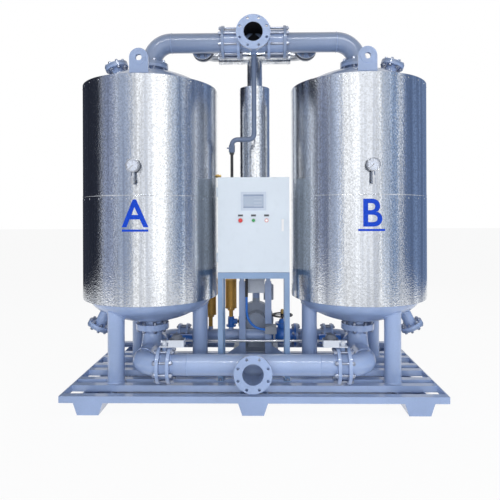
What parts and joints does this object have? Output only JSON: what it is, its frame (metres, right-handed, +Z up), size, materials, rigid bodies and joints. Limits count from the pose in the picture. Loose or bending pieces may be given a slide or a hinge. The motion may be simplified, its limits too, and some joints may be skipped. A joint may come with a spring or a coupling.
{
  "type": "desiccant air dryer",
  "caption": "Twin-tower desiccant dryer for compressed air on a steel skid, with insulated pressure vessels, flanged pipework, a regeneration heater and a front control cabinet.",
  "frame": {"origin": "on the floor, in the middle of the whole object's box", "axes": "+X from tower A to tower B, +Y from the control cabinet's front to the back, +Z up"},
  "size_m": [2.9556, 1.52, 3.1278],
  "materials": {
    "paint": "satin",
    "sheet": "embossed",
    "wool": "matt",
    "beads": "matt",
    "mesh": "satin",
    "gauge_black": "satin",
    "clear": "polished",
    "brass": "satin",
    "steel": "satin",
    "valve_iron": "painted",
    "actuator_grey": "satin",
    "valve_blue": "gloss",
    "wheel_black": "satin",
    "bronze": "sintered",
    "motor_grey": "satin",
    "cabinet": "fine texture",
    "screen": "gloss",
    "red": "gloss",
    "green": "gloss",
    "lamp": "gloss",
    "handle": "gloss",
    "hose": "matt"
  },
  "bodies": {
    "frame": {"skid_frame": "paint", "skid_runners": "paint", "tower_a_vessel": "paint", "tower_b_vessel": "paint", "tower_legs": "paint", "lower_jackets": "sheet", "upper_jackets": "sheet", "insulation": "wool", "desiccant_beds": "beads", "bed_screens": "mesh", "port_covers": "paint", "gauge_cases": "gauge_black", "gauge_lenses": "clear", "gauge_cocks": "brass", "outlet_pipe_a": "paint", "outlet_pipe_b": "paint", "outlet_tee": "paint", "check_valve_bodies": "steel", "check_valve_studs": "steel", "inlet_pipe_a": "paint", "inlet_pipe_b": "paint", "inlet_manifold": "paint", "butterfly_bodies": "valve_iron", "inlet_actuators": "actuator_grey", "hot_header": "paint", "hot_lagging": "sheet", "hot_check_valves": "steel", "heater_vessel": "sheet", "heater_elements": "steel", "heater_terminal_box": "actuator_grey", "heater_posts": "paint", "exhaust_pipes": "paint", "exhaust_actuators": "valve_blue", "throttle_valve": "valve_blue", "vent_valve": "valve_blue", "mufflers": "bronze", "blower": "motor_grey", "blower_pipe": "paint", "cabinet_box": "cabinet", "cabinet_stand": "paint", "control_panel": "cabinet", "control_lines": "hose"},
    "door": {"cabinet_door": "cabinet", "touch_panel": "screen", "alarm_lamp": "lamp"},
    "handle": {"door_handle": "handle"},
    "stop": {"stop_button": "red"},
    "start": {"start_button": "green"},
    "inlet_disc_a": {"inlet_disc_a": "steel"},
    "inlet_disc_b": {"inlet_disc_b": "steel"},
    "exhaust_disc_a": {"exhaust_disc_a": "steel"},
    "exhaust_disc_b": {"exhaust_disc_b": "steel"},
    "check_flap_a": {"check_flap_a": "steel"},
    "check_flap_b": {"check_flap_b": "steel"},
    "needle_a": {"gauge_needle_a": "gauge_black"},
    "needle_b": {"gauge_needle_b": "gauge_black"},
    "cock_a": {"cock_lever_a": "steel"},
    "cock_b": {"cock_lever_b": "steel"},
    "throttle_wheel": {"throttle_wheel": "wheel_black"},
    "vent_wheel": {"vent_wheel": "wheel_black"}
  },
  "joints": [
    {"name": "door_swing", "type": "hinge", "parent": "frame", "child": "door", "pos_m": [-0.297, -0.4, 1.395], "axis": [0, 0, -1], "range_deg": [0, 110]},
    {"name": "handle_turn", "type": "hinge", "parent": "door", "child": "handle", "pos_m": [0.234, -0.42, 1.431], "axis": [0, 1, 0], "range_deg": [0, 90]},
    {"name": "stop_press", "type": "slide", "parent": "door", "child": "stop", "axis": [0, 1, 0], "range_m": [0, 0.004], "stiffness_N_per_m": 800},
    {"name": "start_press", "type": "slide", "parent": "door", "child": "start", "axis": [0, 1, 0], "range_m": [0, 0.004], "stiffness_N_per_m": 800},
    {"name": "inlet_valve_a", "type": "hinge", "parent": "frame", "child": "inlet_disc_a", "pos_m": [-0.696, -0.53, 0.29971], "axis": [0, 0, 1], "range_deg": [0, 90]},
    {"name": "inlet_valve_b", "type": "hinge", "parent": "frame", "child": "inlet_disc_b", "pos_m": [0.696, -0.53, 0.29971], "axis": [0, 0, 1], "range_deg": [0, 90]},
    {"name": "exhaust_valve_a", "type": "hinge", "parent": "frame", "child": "exhaust_disc_a", "pos_m": [-0.7, 0.4, 0.29971], "axis": [0, 1, 0], "range_deg": [0, 90]},
    {"name": "exhaust_valve_b", "type": "hinge", "parent": "frame", "child": "exhaust_disc_b", "pos_m": [0.7, 0.4, 0.29971], "axis": [0, 1, 0], "range_deg": [0, 90]},
    {"name": "check_swing_a", "type": "hinge", "parent": "frame", "child": "check_flap_a", "pos_m": [-0.2317, -0.07, 3.04744], "axis": [0, -1, 0], "range_deg": [0, 70]},
    {"name": "check_swing_b", "type": "hinge", "parent": "frame", "child": "check_flap_b", "pos_m": [0.2317, -0.07, 3.04744], "axis": [0, 1, 0], "range_deg": [0, 70]},
    {"name": "needle_turn_a", "type": "hinge", "parent": "frame", "child": "needle_a", "pos_m": [-0.9, -0.703, 1.85], "axis": [0, 1, 0], "range_deg": [0, 270], "stiffness_Nm_per_rad": 0.002},
    {"name": "needle_turn_b", "type": "hinge", "parent": "frame", "child": "needle_b", "pos_m": [0.9, -0.703, 1.85], "axis": [0, 1, 0], "range_deg": [0, 270], "stiffness_Nm_per_rad": 0.002},
    {"name": "cock_turn_a", "type": "hinge", "parent": "frame", "child": "cock_a", "pos_m": [-0.9, -0.712, 1.76], "axis": [0, 1, 0], "range_deg": [0, 90]},
    {"name": "cock_turn_b", "type": "hinge", "parent": "frame", "child": "cock_b", "pos_m": [0.9, -0.712, 1.76], "axis": [0, 1, 0], "range_deg": [0, 90]},
    {"name": "throttle_turn", "type": "hinge", "parent": "frame", "child": "throttle_wheel", "pos_m": [0.26, 0.4, 0.493], "axis": [0, 0, 1], "range_deg": [0, 720]},
    {"name": "vent_turn", "type": "hinge", "parent": "frame", "child": "vent_wheel", "pos_m": [-0.24, 0.4, 0.43086], "axis": [1, 0, 0], "range_deg": [0, 720]}
  ]
}
